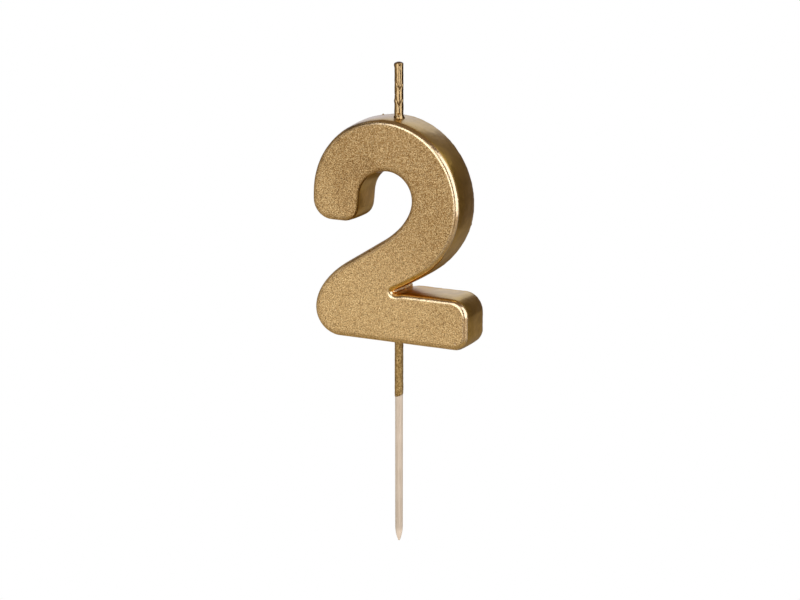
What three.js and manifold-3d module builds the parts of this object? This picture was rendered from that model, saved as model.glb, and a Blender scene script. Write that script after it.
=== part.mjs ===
// A number candle in the shape of a 2, on a wooden pick, with a gilt dip over it all.
//
// Millimetres, +Z up, +X to the right as the numeral is read, +Y to its back. The origin is on the
// pick's axis, at the flat base of the numeral, in the middle of its thickness.

import * as THREE from "three";
import { mergeVertices } from "three/addons/utils/BufferGeometryUtils.js";
import Module from "manifold-3d";

// The numeral as a whole
const numeralHeight = 60.2;
const numeralThickness = 10.6;
const frontEdgeRadius = 1.5; // the mould's edge, all round the face
const backEdgeRadius = 0.5; // the trimmed edge of the poured side

// The foot, the straight stroke that the numeral stands on
const footRightX = 22.6;
const footHeight = 14.0;
const footLowerRadius = 4.2;
const footUpperRadius = 5.0;

// The crevice between the foot and the diagonal
const creviceX = 1.0; // centre of its round root
const creviceRadius = 0.45;
const creviceDip = 0.35; // how far its root lies under the foot's top
const creviceMouth = 2.6; // from the centre of the root to where the foot's top is level
const creviceSlope = 24; // degrees, its upper side near the root

// The diagonal stroke
const undersideStartX = 9.0; // where its underside starts to bend up
const undersideSlope = 34; // degrees
const undersideReach = 1.5; // where the underside, drawn on, would meet the foot's top
const diagonalSlope = 32; // degrees, its upper side
const diagonalStroke = 13.7; // its width, square to the upper side
const diagonalUpperEndX = -2.7; // where the counter's curve runs into its straight upper side
const diagonalLowerEndX = -13.1; // where the belly's curve leaves it

// The bowl, the big arch at the top
const bowlRightX = 19.8;
const bowlLeftX = -23.5;
const bowlTopX = -2.2;
const bowlRightZ = 37.6; // height of its widest point on the right
const bowlLeftZ = 38.9; // and on the left
const bowlStroke = 14.0; // width of the stroke at the right
const bowlTopStroke = 13.9; // and at the top

// The counter, the hollow under the arch
const counterTopX = -1.6;
const counterRightZ = 39.0;

// The terminal, the blunt end of the arch at the left
const terminalZ = 31.9;
const terminalWidth = 13.2;
const terminalLean = 6; // degrees, how far its inner wall leans to the right
const terminalOuterRadius = 5.5;
const terminalInnerRadius = 4.0;
const terminalWallTopZ = 39.6; // where its inner wall starts to bend into the arch

// The belly, the round at the lower left, and the heel where it meets the base
const bellyLeftX = -23.1;
const bellyZ = 7.4;
const bellyDrop = 4.9; // from its widest point down to the corner that it is rounded off from
const heelX = -18.7;
const heelZ = 0.6;
const heelBaseX = -16.0;

// The dip: one gilt wax skin, over the numeral, the wick and the upper part of the pick
const skinThickness = 0.25; // on the numeral
const coatThickness = 0.1; // on the wick and on the pick
const fitClearance = 0.05;

// The wick
const wickExposed = 14.6;
const wickCover = 3.0; // wax left between the wick's buried end and the counter
const wickCordDiameter = 2.02;
const wickHeadDiameter = 2.52;
const wickHeadHeight = 1.4;
const wickBeadDiameter = 2.95;
const wickBeadHeight = 0.9;

// The pick
const pickDiameter = 2.05;
const pickExposed = 57.9;
const pickCover = 1.5; // wax left between the pick's buried end and the crevice
const pickTaper = 4.3;
const pickTipDiameter = 0.5;
const pickChamfer = 0.25;
const pickCoatLength = 16.0;
const pickCoatSlant = 0.5; // the dip line's rise to the right, and its fall to the left
const pickCoatLip = 0.5; // how far up the coat swells to its full thickness

// Fineness
const curveSteps = 8;
const frontEdgeSteps = 3;
const backEdgeSteps = 2;
const turnSteps = 24;

const wasm = await Module();
wasm.setup();

function solidOf(geometry) {
  const bare = geometry.clone();
  bare.deleteAttribute("normal");
  bare.deleteAttribute("uv");
  const merged = mergeVertices(bare, 1e-4);
  const vertProperties = merged.attributes.position.array;
  const triVerts = new Uint32Array(merged.index.array);
  return new wasm.Manifold(new wasm.Mesh({ numProp: 3, vertProperties, triVerts }));
}

function geometryOf(solid) {
  const mesh = solid.getMesh();
  const geometry = new THREE.BufferGeometry();
  geometry.setAttribute("position", new THREE.BufferAttribute(mesh.vertProperties, 3));
  geometry.setIndex(new THREE.BufferAttribute(mesh.triVerts, 1));
  const flat = geometry.toNonIndexed();
  flat.computeVertexNormals();
  return flat;
}

const radians = THREE.MathUtils.degToRad;

// A straight line through a point at a slope in degrees: its height at x
function heightOnLine(through, slope, x) {
  return through.y + (x - through.x) * Math.tan(radians(slope));
}

// Rounds off a corner of the outline, from where the pen is to the end point. A turn that a circle
// would make has handles of 4/3 tan(a / 4) / tan(a / 2) of each side.
function roundCorner(outline, corner, end) {
  const toCorner = corner.clone().sub(outline.currentPoint);
  const toEnd = end.clone().sub(corner);
  const turn = Math.abs(toCorner.angleTo(toEnd));
  const share = ((4 / 3) * Math.tan(turn / 4)) / Math.tan(turn / 2);
  const handleA = outline.currentPoint.clone().addScaledVector(toCorner, share);
  const handleB = end.clone().addScaledVector(toEnd, -share);
  outline.bezierCurveTo(handleA.x, handleA.y, handleB.x, handleB.y, end.x, end.y);
}

const at = (x, z) => new THREE.Vector2(x, z);

// The top and the right of the counter
const counterTopZ = numeralHeight - bowlTopStroke;
const counterRightX = bowlRightX - bowlStroke;

// The lines that the diagonal runs along
const undersideThrough = at(undersideReach, footHeight);
const upperSideRise = diagonalStroke / Math.cos(radians(diagonalSlope));
const upperSideThrough = at(undersideReach, footHeight + upperSideRise);
const undersideZ = (x) => heightOnLine(undersideThrough, undersideSlope, x);
const upperSideZ = (x) => heightOnLine(upperSideThrough, diagonalSlope, x);

// The outline of the numeral, walked with the wax on the left: foot, crevice, underside, outside
// of the bowl, terminal, counter, upper side of the diagonal, belly and heel
function numeralOutline() {
  const outline = new THREE.Shape();
  outline.moveTo(heelBaseX, 0);
  outline.lineTo(footRightX - footLowerRadius, 0);
  roundCorner(outline, at(footRightX, 0), at(footRightX, footLowerRadius));
  outline.lineTo(footRightX, footHeight - footUpperRadius);
  roundCorner(outline, at(footRightX, footHeight), at(footRightX - footUpperRadius, footHeight));

  const rootZ = footHeight - creviceDip;
  outline.lineTo(creviceX + creviceMouth, footHeight);
  roundCorner(outline, at(creviceX + creviceMouth / 2, rootZ), at(creviceX, rootZ));
  const rootEndX = creviceX - creviceRadius;
  roundCorner(outline, at(rootEndX, rootZ), at(rootEndX, rootZ + creviceRadius));
  const rootTop = at(creviceX, rootZ + 2 * creviceRadius);
  const rootTopCorner = at(rootEndX, heightOnLine(rootTop, creviceSlope, rootEndX));
  roundCorner(outline, rootTopCorner, rootTop);
  const slopeDifference = Math.tan(radians(undersideSlope)) - Math.tan(radians(creviceSlope));
  const throatX = (heightOnLine(rootTop, creviceSlope, 0) - undersideZ(0)) / slopeDifference;
  const undersideStart = at(undersideStartX, undersideZ(undersideStartX));
  roundCorner(outline, at(throatX, undersideZ(throatX)), undersideStart);

  roundCorner(outline, at(bowlRightX, undersideZ(bowlRightX)), at(bowlRightX, bowlRightZ));
  const rise = numeralHeight - bowlRightZ;
  outline.absellipse(bowlTopX, bowlRightZ, bowlRightX - bowlTopX, rise, 0, Math.PI / 2);
  const fall = numeralHeight - bowlLeftZ;
  outline.absellipse(bowlTopX, bowlLeftZ, bowlTopX - bowlLeftX, fall, Math.PI / 2, Math.PI);

  outline.lineTo(bowlLeftX, terminalZ + terminalOuterRadius);
  roundCorner(outline, at(bowlLeftX, terminalZ), at(bowlLeftX + terminalOuterRadius, terminalZ));
  const innerX = bowlLeftX + terminalWidth;
  const wallX = (z) => innerX + (z - terminalZ) * Math.tan(radians(terminalLean));
  const wallStartZ = terminalZ + terminalInnerRadius;
  outline.lineTo(innerX - terminalInnerRadius, terminalZ);
  roundCorner(outline, at(innerX, terminalZ), at(wallX(wallStartZ), wallStartZ));
  outline.lineTo(wallX(terminalWallTopZ), terminalWallTopZ);

  roundCorner(outline, at(wallX(counterTopZ), counterTopZ), at(counterTopX, counterTopZ));
  roundCorner(outline, at(counterRightX, counterTopZ), at(counterRightX, counterRightZ));
  const upperEnd = at(diagonalUpperEndX, upperSideZ(diagonalUpperEndX));
  roundCorner(outline, at(counterRightX, upperSideZ(counterRightX)), upperEnd);
  outline.lineTo(diagonalLowerEndX, upperSideZ(diagonalLowerEndX));

  roundCorner(outline, at(bellyLeftX, upperSideZ(bellyLeftX)), at(bellyLeftX, bellyZ));
  const bellyCorner = at(bellyLeftX, bellyZ - bellyDrop);
  const heel = at(heelX, heelZ);
  roundCorner(outline, bellyCorner, heel);
  const heelRun = (heel.x - bellyCorner.x) / (bellyCorner.y - heel.y);
  outline.quadraticCurveTo(heelX + heelZ * heelRun, 0, heelBaseX, 0);
  return outline;
}

// The outline made into a plate that stands up, with both its edges rounded alike. An inset draws
// every face in by that much.
function plate(outline, inset, edgeRadius, edgeSteps) {
  const round = Math.max(edgeRadius - inset, edgeRadius / 5);
  const halfThickness = numeralThickness / 2 - inset;
  const geometry = new THREE.ExtrudeGeometry(outline, {
    depth: 2 * (halfThickness - round),
    bevelThickness: round,
    bevelSize: round,
    bevelOffset: -round - inset,
    bevelSegments: edgeSteps,
    curveSegments: curveSteps,
  });
  geometry.translate(0, 0, round - halfThickness);
  geometry.rotateX(Math.PI / 2);
  return solidOf(geometry);
}

// The numeral's body: its front half has the mould's edge, its back half the trimmed one.
function numeralBody(outline, inset) {
  const reach = 2 * (numeralHeight + bowlRightX - bowlLeftX);
  const behind = new THREE.BoxGeometry(reach, reach, reach);
  behind.translate(0, reach / 2, 0);
  const backHalf = solidOf(behind);
  const front = plate(outline, inset, frontEdgeRadius, frontEdgeSteps).subtract(backHalf);
  const back = plate(outline, inset, backEdgeRadius, backEdgeSteps).intersect(backHalf);
  return front.add(back);
}

// A round rod on the Z axis
function rod(diameter, fromZ, toZ) {
  const geometry = new THREE.CylinderGeometry(diameter / 2, diameter / 2, toZ - fromZ, turnSteps);
  geometry.rotateX(Math.PI / 2);
  geometry.translate(0, 0, (fromZ + toZ) / 2);
  return solidOf(geometry);
}

// A profile of radius against height, turned about the Z axis
function turned(profile) {
  const geometry = new THREE.LatheGeometry(profile, turnSteps);
  geometry.rotateX(Math.PI / 2);
  return geometry;
}

// Height of the bowl's outside at a place x across it
function bowlOutsideZ(x) {
  const reach = x > bowlTopX ? bowlRightX - bowlTopX : bowlTopX - bowlLeftX;
  const widestZ = x > bowlTopX ? bowlRightZ : bowlLeftZ;
  return widestZ + (numeralHeight - widestZ) * Math.sqrt(1 - ((x - bowlTopX) / reach) ** 2);
}

// Heights along the axis that the wick and the pick share
const wickFootZ = bowlOutsideZ(0);
const wickTopZ = wickFootZ + wickExposed;
const wickEndZ = counterTopZ + wickCover;
const pickEndZ = footHeight - creviceDip - pickCover;
const pickCoatTopZ = skinThickness;
const wickCoatDiameter = wickCordDiameter + 2 * (fitClearance + coatThickness);
const pickCoatDiameter = pickDiameter + 2 * (fitClearance + coatThickness);

const outline = numeralOutline();
const outside = numeralBody(outline, 0);
const inside = numeralBody(outline, skinThickness);

function numeralCore() {
  const wickHole = rod(wickCordDiameter + 2 * fitClearance, wickEndZ, wickTopZ);
  const pickHole = rod(pickDiameter + 2 * fitClearance, -pickExposed, pickEndZ);
  const castWax = numeralBody(outline, skinThickness + fitClearance);
  return geometryOf(castWax.subtract(wickHole).subtract(pickHole));
}

function numeralSkin() {
  const wickHole = rod(wickCoatDiameter + 2 * fitClearance, wickEndZ, wickTopZ);
  const pickHole = rod(pickCoatDiameter + 2 * fitClearance, -pickExposed, pickEndZ);
  return geometryOf(outside.subtract(inside).subtract(wickHole).subtract(pickHole));
}

function wickCord() {
  const topZ = wickTopZ - coatThickness - fitClearance;
  return geometryOf(rod(wickCordDiameter, wickEndZ + fitClearance, topZ));
}

// The coat on the wick: a sleeve with a closed, slightly swollen head, and a bead round its foot
function wickCoat() {
  const bore = wickCordDiameter / 2 + fitClearance;
  const side = wickCoatDiameter / 2;
  const head = wickHeadDiameter / 2;
  const sleeve = turned([
    at(0, wickTopZ - coatThickness),
    at(bore, wickTopZ - coatThickness),
    at(bore, wickEndZ),
    at(side, wickEndZ),
    at(side, wickTopZ - wickHeadHeight),
    at(head, wickTopZ - wickHeadHeight / 2),
    at(head, wickTopZ - wickHeadHeight / 4),
    at((side + bore) / 2, wickTopZ),
    at(0, wickTopZ),
  ]);
  const wall = bore + coatThickness / 2;
  const bead = turned([
    at(wall, wickFootZ - wickBeadHeight),
    at(wickBeadDiameter / 2, wickFootZ - wickBeadHeight),
    at(wickBeadDiameter / 2, wickFootZ + wickBeadHeight / 5),
    at(side + coatThickness / 2, wickFootZ + wickBeadHeight / 2),
    at(wall, wickFootZ + wickBeadHeight),
    at(wall, wickFootZ - wickBeadHeight),
  ]);
  const seat = numeralBody(outline, -fitClearance);
  const beadOnNumeral = solidOf(bead).subtract(seat);
  return geometryOf(solidOf(sleeve).subtract(inside).add(beadOnNumeral));
}

function pick() {
  const side = pickDiameter / 2;
  const tip = pickTipDiameter / 2;
  const taperZ = pickTaper - pickExposed;
  const topZ = pickEndZ - fitClearance;
  const ogive = new THREE.QuadraticBezierCurve(
    at(tip, tip / 2 - pickExposed),
    at(side, taperZ - pickTaper / 2),
    at(side, taperZ),
  );
  return turned([
    at(0, -pickExposed),
    ...ogive.getPoints(curveSteps),
    at(side, topZ - pickChamfer),
    at(side - pickChamfer, topZ),
    at(0, topZ),
  ]);
}

// The coat on the pick: a thin tube whose lower edge is the slanting line that the dip came up to
function pickCoat() {
  const bore = pickDiameter / 2 + fitClearance;
  const side = pickCoatDiameter / 2;
  const geometry = turned([
    at(bore, -pickCoatLength),
    at(bore + coatThickness / 2, -pickCoatLength),
    at(side, pickCoatLip - pickCoatLength),
    at(side, pickCoatTopZ),
    at(bore, pickCoatTopZ),
    at(bore, -pickCoatLength),
  ]);
  const position = geometry.attributes.position;
  for (let i = 0; i < position.count; i += 1) {
    const share = THREE.MathUtils.clamp(-position.getZ(i) / pickCoatLength, 0, 1);
    const lift = (pickCoatSlant * share * position.getX(i)) / side;
    position.setZ(i, position.getZ(i) + lift);
  }
  return geometry;
}

const gilt = { color: 0xb19162, roughness: 0.45, metalness: 0.75 };
const wax = { color: 0xefe4c8, roughness: 0.6, metalness: 0 };
const cotton = { color: 0xf2ede0, roughness: 0.95, metalness: 0 };
const wood = { color: 0xd2bea8, roughness: 0.8, metalness: 0 };

function part(name, geometry, finish) {
  const mesh = new THREE.Mesh(geometry, new THREE.MeshStandardMaterial(finish));
  mesh.name = name;
  return mesh;
}

const candle = new THREE.Group();
candle.name = "number_candle";
candle.add(part("numeral_core", numeralCore(), wax));
candle.add(part("numeral_skin", numeralSkin(), gilt));
candle.add(part("wick_cord", wickCord(), cotton));
candle.add(part("wick_coat", wickCoat(), gilt));
candle.add(part("pick", pick(), wood));
candle.add(part("pick_coat", pickCoat(), gilt));

export default candle;
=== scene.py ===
# %% [markdown]
# # A gilt number candle
# The object is a wax numeral 2 for a cake. It was cast round a wick and a thin wooden pick, and then
# dipped head first in gold lacquer, which ends in a slanting line part of the way down the pick.
# The solids were made before, at their real size. They could be dressed by hand in Blender's
# windows, but a script can be read, changed and run again. So each cell here models or paints one
# piece, in metres and in the frame of the solids.

import math

import bmesh
import bpy
import numpy as np
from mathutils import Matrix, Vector, geometry, kdtree, noise


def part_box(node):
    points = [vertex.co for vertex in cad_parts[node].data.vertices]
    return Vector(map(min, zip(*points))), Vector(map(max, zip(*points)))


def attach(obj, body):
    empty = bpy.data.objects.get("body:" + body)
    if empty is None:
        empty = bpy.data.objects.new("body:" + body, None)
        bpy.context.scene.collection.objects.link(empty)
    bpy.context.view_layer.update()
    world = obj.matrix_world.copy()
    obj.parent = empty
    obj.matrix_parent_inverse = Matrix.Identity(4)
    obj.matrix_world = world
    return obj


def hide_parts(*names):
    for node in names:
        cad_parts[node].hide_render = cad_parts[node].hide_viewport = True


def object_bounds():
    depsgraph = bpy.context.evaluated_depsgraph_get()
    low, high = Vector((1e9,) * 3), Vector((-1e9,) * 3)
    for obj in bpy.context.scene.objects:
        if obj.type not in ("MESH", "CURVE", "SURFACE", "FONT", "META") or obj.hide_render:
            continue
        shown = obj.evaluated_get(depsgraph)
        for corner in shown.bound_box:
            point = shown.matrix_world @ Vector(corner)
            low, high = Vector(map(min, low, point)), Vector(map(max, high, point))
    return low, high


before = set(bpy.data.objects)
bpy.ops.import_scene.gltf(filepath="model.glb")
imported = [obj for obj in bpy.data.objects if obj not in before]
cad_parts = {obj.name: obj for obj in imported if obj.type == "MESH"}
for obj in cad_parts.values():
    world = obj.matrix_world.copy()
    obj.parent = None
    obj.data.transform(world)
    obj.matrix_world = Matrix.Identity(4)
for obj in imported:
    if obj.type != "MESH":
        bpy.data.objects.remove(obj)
cad_low, cad_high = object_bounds()
mm = 0.001
print("solids:", ", ".join(sorted(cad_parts)))
print("size in mm:", [round(side / mm, 1) for side in cad_high - cad_low])

# %% [markdown]
# ## The camera
# The candle is seen from the right and from slightly above, through a long lens. A camera could be
# moved by hand until the view looks right. Here its direction, distance and lens were worked out
# from edges that are parallel on the candle, so that the whole outline fits at once. An azimuth of 0
# looks at the face of the numeral, and 90 at its right side.

# %% Camera
camera_azimuth = 26.475  # in degrees, as is the elevation
camera_elevation = 14.114
camera_distance = 544.2 * mm
camera_target = Vector((0.3, 0.0, 10.75)) * mm
camera_lens = 91.15  # focal length in millimetres, as Blender counts it


def outward(azimuth, elevation):
    """The direction that points out from the candle at an azimuth and an elevation, in degrees."""
    a, e = math.radians(azimuth), math.radians(elevation)
    return Vector((math.sin(a) * math.cos(e), -math.cos(a) * math.cos(e), math.sin(e)))


camera = bpy.data.objects.new("camera", bpy.data.cameras.new("camera"))
bpy.context.scene.collection.objects.link(camera)
camera_back = outward(camera_azimuth, camera_elevation)
camera.location = camera_target + camera_back * camera_distance
camera.rotation_mode = "QUATERNION"
camera.rotation_quaternion = (-camera_back).to_track_quat("-Z", "Y")
camera.data.lens = camera_lens
camera.data.clip_start = 10 * mm
bpy.context.scene.camera = camera
bpy.context.scene.view_settings.view_transform = "Standard"
print("camera at, mm:", [round(side / mm, 1) for side in camera.location])

# %% [markdown]
# ## From corners to a mesh
# Every piece of the candle is rounded and a little uneven. Modifiers or sculpting could give that,
# but here a formula places each corner, so that every size can be read in the script and each run
# gives the same mesh. Blender takes the corners and the faces as plain lists, and one small function
# turns them into a smooth-shaded object that rides on the part. Ripple is the noise that makes a
# surface uneven.

# %% Making a piece
weld = 0.002 * mm  # corners closer together than this become one


def make_piece(name, corners, faces, stands_for=()):
    """A mesh of these corners, in metres, that rides on the candle and stands for its solids."""
    mesh = bpy.data.meshes.new(name)
    mesh.from_pydata([tuple(corner) for corner in corners], [], faces)
    shape = bmesh.new()
    shape.from_mesh(mesh)
    bmesh.ops.remove_doubles(shape, verts=shape.verts, dist=weld)
    volume = shape.calc_volume(signed=True)
    if volume < 0:
        bmesh.ops.reverse_faces(shape, faces=shape.faces)
    open_edges = sum(len(edge.link_faces) != 2 for edge in shape.edges)
    shape.to_mesh(mesh)
    shape.free()
    mesh.shade_smooth()
    piece = bpy.data.objects.new(name, mesh)
    bpy.context.scene.collection.objects.link(piece)
    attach(piece, "root")
    if stands_for:
        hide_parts(*stands_for)
    volume = abs(volume) / mm**3
    print(f"{name}: {len(mesh.polygons)} faces, {open_edges} open edges, {volume:.1f} mm3")
    return piece


def ripple(point, size, seed):
    """Smooth noise from -1 to 1 at a point, with waves about as long as size."""
    return noise.noise(Vector(point) / size + Vector((seed, 0.37 * seed, 0.61 * seed)))


# %% [markdown]
# ## The outline of the numeral
# The numeral is a thick plate, and all of its walls follow one outline. It could be drawn anew, but
# the solid already has it as a ring of corners where its front edge starts to round off. So it is
# read from there, and the new skin fits the solid exactly.

# %% Ring of the solid
front_y, back_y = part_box("numeral_skin")[0].y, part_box("numeral_skin")[1].y
front_edge = 1.5 * mm  # radius of the mould's edge
back_edge = 0.5 * mm  # radius of the trimmed edge
skin = 0.25 * mm  # thickness of the dip


def ring_of_solid(node, depth):
    """The outermost ring of corners of a solid at a depth along Y, in order, as X and Z."""
    shape = bmesh.new()
    shape.from_mesh(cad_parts[node].data)
    bmesh.ops.remove_doubles(shape, verts=shape.verts, dist=weld)
    near = 0.01 * mm
    level = [e for e in shape.edges if all(abs(v.co.y - depth) < near for v in e.verts)]
    rings = []
    while level:
        ring = list(level.pop().verts)
        while True:
            onward = [e for e in level if ring[-1] in e.verts]
            if not onward:
                break
            level.remove(onward[0])
            ring.append(onward[0].other_vert(ring[-1]))
        rings.append([(v.co.x, v.co.z) for v in ring[:-1]])
    shape.free()
    return np.array(max(rings, key=lambda ring: max(x for x, _ in ring)))


def signed_area(points):
    """The area inside an outline, which is negative where the outline runs clockwise."""
    x, z = points[:, 0], points[:, 1]
    return float(np.sum(x * np.roll(z, -1) - np.roll(x, -1) * z)) / 2


ring = ring_of_solid("numeral_skin", front_y + front_edge)
if signed_area(ring) < 0:
    ring = ring[::-1]  # anticlockwise
print(f"ring: {len(ring)} corners, {signed_area(ring) / mm**2:.0f} mm2")

# %% [markdown]
# ## A smooth outline
# The ring is coarse, and a glossy wall would show each of its corners in what it reflects.
# Subdivision would round it, but it also pulls it inwards. So a Hermite curve is drawn through the
# corners. A side that is much longer than its neighbour is a straight stretch and keeps its
# direction. Near two small flaws the new corners lie closer together. The dip also ran smooth where
# the foot's top sinks to the crevice, so the outline is eased there.

# %% Smooth outline
straight = 2.5  # a side this many times longer than its neighbour is a straight stretch
nick = np.array([-6.13, 24.75]) * mm  # a chip in the front edge, on the diagonal
burr = np.array([-7.1, 59.6]) * mm  # a spike of wax on the trimmed back edge
dip_start = np.array([3.6, 14.0]) * mm  # where the foot's top starts to sink to the crevice


def fine_outline(points, spacing, turn, fine_spots, fine_spacing, reach):
    """A smooth closed outline through points, with a corner at every spacing or turn in degrees."""
    after = np.roll(points, -1, 0) - points
    length = np.linalg.norm(after, axis=1)
    along = after / length[:, None]
    before, shorter = np.roll(along, 1, 0), np.roll(length, 1)
    tangent = along * shorter[:, None] + before * length[:, None]
    tangent = np.where((length > straight * shorter)[:, None], along, tangent)
    tangent = np.where((shorter > straight * length)[:, None], before, tangent)
    tangent /= np.linalg.norm(tangent, axis=1)[:, None]
    made = []
    for i, start in enumerate(points):
        j = (i + 1) % len(points)
        bend = math.degrees(math.acos(min(1.0, float(tangent[i] @ tangent[j]))))
        middle = (start + points[j]) / 2
        spotted = any(np.linalg.norm(middle - spot) < reach + length[i] / 2 for spot in fine_spots)
        step = fine_spacing if spotted else spacing
        count = max(1, math.ceil(length[i] / step), math.ceil(bend / turn))
        t = np.linspace(0, 1, count, endpoint=False)[:, None]
        made.append(
            (2 * t**3 - 3 * t**2 + 1) * start
            + (t**3 - 2 * t**2 + t) * length[i] * tangent[i]
            + (3 * t**2 - 2 * t**3) * points[j]
            + (t**3 - t**2) * length[i] * tangent[j]
        )
    return np.concatenate(made)


def normals_of(points):
    """The outward normal at each point of an outline that runs anticlockwise."""
    chord = np.roll(points, -1, 0) - np.roll(points, 1, 0)
    normal = np.stack([chord[:, 1], -chord[:, 0]], 1)
    return normal / np.linalg.norm(normal, axis=1)[:, None]


def eased(points, spot, reach, passes):
    """The points with those near a spot drawn towards their neighbours, which rounds a corner."""
    near = np.linalg.norm(points - spot, axis=1) < reach
    for _ in range(passes):
        between = (np.roll(points, 1, 0) + np.roll(points, -1, 0)) / 2
        points = np.where(near[:, None], (points + between) / 2, points)
    return points


outline = fine_outline(ring, 0.3 * mm, 6, [nick, burr], fine_spacing=0.08 * mm, reach=0.6 * mm)
outline = eased(outline, dip_start, reach=1.4 * mm, passes=24)
print(f"outline: {len(outline)} corners, {signed_area(outline) / mm**2:.0f} mm2")

# %% [markdown]
# ## The walls of the numeral
# The dip is one thin, closed skin. A curve with a bevel gives such a plate in one step, but leaves no
# corners to work the flaws into. So the skin is made of rings, one for each step of a profile that
# runs from the back face's rim, over the trimmed edge, along the wall and round the mould's edge to
# the front face's rim. A second, plain set of rings lies one skin thickness further in.

# %% Profile of the skin
def profile(inset, wall_steps, front_steps, back_steps):
    """(distance in from the outline, Y) from the back face's rim to the front face's rim."""
    front, back = front_edge - inset, back_edge - inset
    rear, fore = back_y - inset, front_y + inset
    turns = [math.pi / 2 * i / back_steps for i in range(back_steps + 1)]
    steps = [(inset + back * (1 - math.sin(a)), rear - back * (1 - math.cos(a))) for a in turns]
    wall = np.linspace(rear - back, fore + front, wall_steps + 1)[1:-1]
    steps += [(inset, y) for y in wall]
    turns = [math.pi / 2 * i / front_steps for i in range(front_steps + 1)]
    steps += [(inset + front * (1 - math.cos(a)), fore + front * (1 - math.sin(a))) for a in turns]
    return steps


outer_steps = profile(0, wall_steps=14, front_steps=9, back_steps=5)
inner_steps = profile(skin, wall_steps=1, front_steps=3, back_steps=2)
print(f"profiles: {len(outer_steps)} steps outside, {len(inner_steps)} inside")

# %% [markdown]
# ## The flat faces
# The front and the back of the numeral are flat. Each could be one large face with many sides, but
# that can't be bent. So each rim is filled with an even net of triangles, and a Delaunay
# triangulation joins the net to the rim. Round each air bubble the net is closer, in circles, so
# that a small pit can be pressed into it.

# %% Filling a rim
circles = 6  # of corners round each bubble
circle_gap = 0.28  # between two circles, in radii of the bubble
even_from = 1.9  # how far from a bubble the even net starts, in its radii


def is_inside(points, rim):
    """Which of the points lie inside a closed rim."""
    x, z = points[:, 0][:, None], points[:, 1][:, None]
    a, b = rim, np.roll(rim, -1, 0)
    rising = (a[:, 1] > z) != (b[:, 1] > z)
    rise = np.where(b[:, 1] == a[:, 1], 1, b[:, 1] - a[:, 1])
    crossing = (b[:, 0] - a[:, 0]) * (z - a[:, 1]) / rise + a[:, 0]
    return np.sum(rising & (x < crossing), 1) % 2 == 1


def net_points(rim, spacing, spots):
    """Points inside a rim on a net of equal triangles, closer together round each spot."""
    low, high = rim.min(0), rim.max(0)
    rows = np.arange(low[1], high[1], spacing * math.sqrt(0.75))
    net = [
        (x + spacing / 2 * (row % 2), z)
        for row, z in enumerate(rows)
        for x in np.arange(low[0], high[0], spacing)
    ]
    for x, z, radius, _ in spots:
        net = [p for p in net if math.hypot(p[0] - x, p[1] - z) > even_from * radius]
        for circle in range(1, circles + 1):
            for turn in range(5 * circle):
                angle = 2 * math.pi * turn / (5 * circle)
                out = circle_gap * radius * circle
                net.append((x + out * math.cos(angle), z + out * math.sin(angle)))
    net = np.array(net)
    net = net[is_inside(net, rim)]
    tree = kdtree.KDTree(len(rim))
    for i, point in enumerate(rim):
        tree.insert((point[0], point[1], 0), i)
    tree.balance()
    return [p for p in net if tree.find((p[0], p[1], 0))[2] > 0.5 * spacing]


def filled(rim, spacing, spots):
    """Corners and triangles that fill a flat rim, with the rim's own corners first."""
    points = [Vector(p) for p in rim] + [Vector(p) for p in net_points(rim, spacing, spots)]
    sides = [(i, (i + 1) % len(rim)) for i in range(len(rim))]
    corners, _, faces, *_ = geometry.delaunay_2d_cdt(points, sides, [], 1, 0.0005 * mm)
    return corners, faces


print("corners of a coarse net on the face:", len(net_points(outline, 5 * mm, [])))

# %% [markdown]
# The walls and the faces are then put together. Each ring is joined to the next one with a band of
# four-sided faces, and the filled rims close the two ends. The order of a face's corners says which
# side is its outside, so it is turned round where it runs the wrong way.

# %% Putting the plate together
def plate(steps, net_spacing, spots):
    """Corners and faces of the whole numeral, for a profile of (distance in, Y)."""
    normal = normals_of(outline)
    corners, faces = [], []
    count = len(outline)
    for distance_in, y in steps:
        corners += [(x, y, z) for x, z in outline - normal * distance_in]
    for row in range(len(steps) - 1):
        for i in range(count):
            j = (i + 1) % count
            low, high = row * count, (row + 1) * count
            faces.append((low + i, low + j, high + j, high + i))
    for distance_in, y in (steps[0], steps[-1]):
        rim = outline - normal * distance_in
        flat, triangles = filled(rim, net_spacing, spots if y < 0 else [])
        base = len(corners)
        corners += [(p.x, y, p.y) for p in flat]
        for a, b, c in triangles:
            anticlockwise = (flat[b] - flat[a]).cross(flat[c] - flat[a]) > 0
            order = (a, b, c) if anticlockwise == (y < 0) else (a, c, b)
            faces.append(tuple(base + k for k in order))
    return np.array(corners), faces


# %% [markdown]
# ## Small flaws
# Cast and dipped wax is never perfect, and its flaws tell the eye how big it is. The face has a few
# pits from air bubbles and a chip in its edge. The walls swell and sink by a few hundredths of a
# millimetre, bulge slightly at mid-depth, and lean in towards the front. Towards the back they
# swell on the upper left shoulder and along the diagonal. The back edge, where the wax was trimmed
# flush, is torn, turned up on top and worn on the right. A bump map could paint the small flaws,
# but the outline would stay too clean, so each one moves corners and is a real shape.

# %% Broad flaws of the walls
pits = [  # X, Z, radius and depth of bubbles in the front face
    (-16.4 * mm, 7.4 * mm, 0.32 * mm, 0.36 * mm),
    (-16.8 * mm, 41.6 * mm, 0.20 * mm, 0.10 * mm),
    (-12.1 * mm, 8.1 * mm, 0.18 * mm, 0.10 * mm),
    (19.2 * mm, 2.2 * mm, 0.32 * mm, 0.36 * mm),
]
shoulder = (-14 * mm, 56 * mm)  # X and Z, on the upper left of the bowl
hump = (-2.5 * mm, 27.5 * mm)  # on the left wall of the diagonal


def bump_at(distance, reach):
    """1 at a flaw's middle and 0 from reach outwards, with a smooth slope."""
    share = np.clip(1 - distance / reach, 0, 1)
    return share * share * (3 - 2 * share)


def across(corners, spot):
    """How far each corner lies from a spot in the plane of the face."""
    return np.hypot(corners[:, 0] - spot[0], corners[:, 2] - spot[1])


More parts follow.
